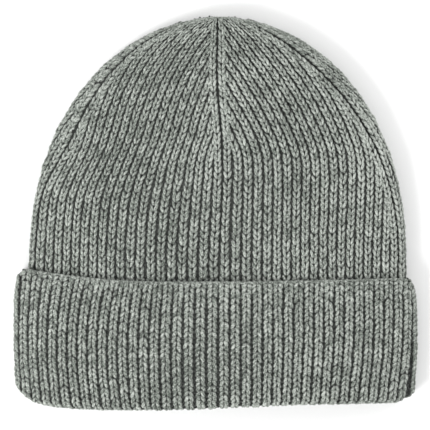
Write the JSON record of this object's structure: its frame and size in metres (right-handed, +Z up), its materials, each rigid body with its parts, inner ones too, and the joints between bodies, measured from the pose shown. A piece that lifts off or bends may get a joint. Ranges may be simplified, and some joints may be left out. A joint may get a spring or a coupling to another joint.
{
  "type": "knit beanie",
  "caption": "Rib-knit beanie with a deep turned-up cuff and a shaped crown, lying flat; the cuff can be drawn down to lengthen the hat.",
  "frame": {"origin": "on the surface the hat lies on, under the middle of its length and width", "axes": "+X across the hat, +Y from the brim to the crown, +Z up out of the front face"},
  "size_m": [0.22, 0.213, 0.032],
  "materials": {
    "body_knit": "soft heathered rib knit, matt",
    "cuff_knit": "soft heathered rib knit, matt, its other face outwards",
    "seam_yarn": "plied yarn, matt",
    "label_ribbon": "satin ribbon",
    "label_thread": "sewing thread"
  },
  "bodies": {
    "hat": {"panel_front_left": "body_knit", "panel_front_right": "body_knit", "panel_back_left": "body_knit", "panel_back_right": "body_knit", "back_seam": "seam_yarn", "front_dart_seam": "seam_yarn", "left_dart_seam": "seam_yarn", "right_dart_seam": "seam_yarn", "crown_gather": "body_knit", "draw_thread": "seam_yarn", "crown_knot": "seam_yarn", "care_label": "label_ribbon", "label_stitches": "label_thread"},
    "cuff": {"brim_fold": "cuff_knit", "cuff_band": "cuff_knit", "cuff_back_seam": "seam_yarn", "cast_on_edge": "cuff_knit"}
  },
  "joints": [
    {"name": "cuff_turn_down", "type": "slide", "parent": "hat", "child": "cuff", "axis": [0, -1, 0], "range_m": [0, 0.055]}
  ]
}
